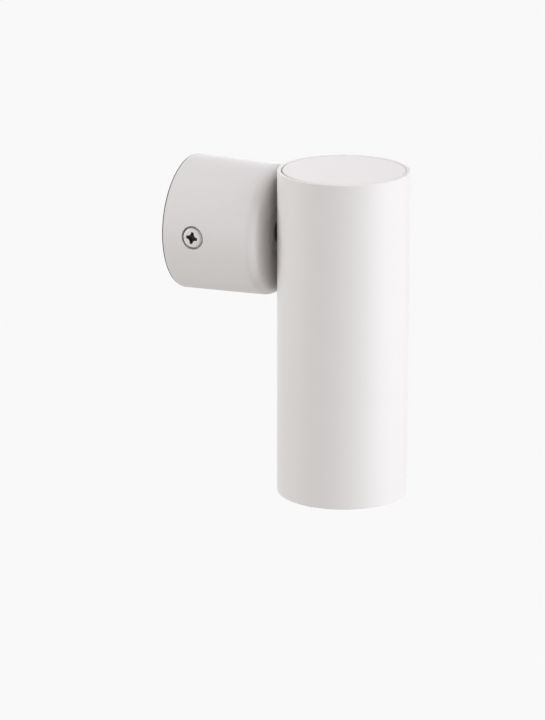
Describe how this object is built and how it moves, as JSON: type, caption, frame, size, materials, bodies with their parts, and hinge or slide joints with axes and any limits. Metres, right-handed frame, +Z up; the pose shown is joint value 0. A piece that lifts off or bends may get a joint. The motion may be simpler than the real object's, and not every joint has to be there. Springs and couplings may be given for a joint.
{
  "type": "wall spotlight",
  "caption": "Round white wall cup with a white tube spotlight on its front, which swivels about the cup's axis and holds a twist-lock lamp.",
  "frame": {"origin": "on the wall, on the wall cup's axis, which is the swivel's axis", "axes": "+Z up along the head tube, +Y into the wall, so the light stands out along -Y"},
  "size_m": [0.0608, 0.1064, 0.1515],
  "materials": {
    "white_powder_coat": "matte",
    "screw_paint": "satin",
    "zinc_plate": "satin",
    "brass": "satin",
    "nylon": "matte",
    "rubber": "matte",
    "steatite": "matte",
    "brown_lead": "satin",
    "blue_lead": "satin",
    "earth_lead": "satin",
    "glass_sleeve": "matte",
    "lamp_plastic": "satin",
    "lens": "satin",
    "led_board": "matte"
  },
  "bodies": {
    "wall_base": {"wall_bracket": "zinc_plate", "clinch_nuts": "zinc_plate", "cable_grommet": "rubber", "wall_gasket": "rubber", "wall_cup": "white_powder_coat", "cup_screws": "screw_paint", "terminal_block": "nylon", "terminal_clamps": "brass", "terminal_screws": "zinc_plate", "block_screws": "zinc_plate", "earth_screw": "zinc_plate", "earth_washer": "zinc_plate", "earth_lugs": "zinc_plate", "base_lead_live": "brown_lead", "base_lead_neutral": "blue_lead", "base_lead_earth": "earth_lead", "earth_bond": "earth_lead", "friction_washer": "nylon", "slide_washer": "nylon"},
    "head": {"stop_washer": "zinc_plate", "disc_spring": "zinc_plate", "lock_nuts": "zinc_plate", "swivel_nipple": "zinc_plate", "swivel_collar": "white_powder_coat", "lead_sleeve": "glass_sleeve", "head_tube": "white_powder_coat", "top_cap": "white_powder_coat", "cap_oring": "rubber", "inner_saddle": "zinc_plate", "lamp_bracket": "zinc_plate", "head_earth_lug": "zinc_plate", "toothed_washer": "zinc_plate", "tube_nut": "zinc_plate", "lampholder": "steatite", "holder_contacts": "brass", "holder_screws": "zinc_plate", "head_lead_live": "brown_lead", "head_lead_neutral": "blue_lead", "head_lead_earth": "earth_lead"},
    "lamp": {"lamp_body": "lamp_plastic", "lamp_lens": "lens", "lamp_pins": "brass", "led_board": "led_board"}
  },
  "joints": [
    {"name": "head_swivel", "type": "hinge", "parent": "wall_base", "child": "head", "pos_m": [0, -0.0448, 0], "axis": [0, 1, 0], "range_deg": [-165, 165]},
    {"name": "lamp_twist", "type": "hinge", "parent": "head", "child": "lamp", "pos_m": [0, -0.0764, -0.059], "axis": [0, 0, -1], "range_deg": [0, 45]}
  ]
}
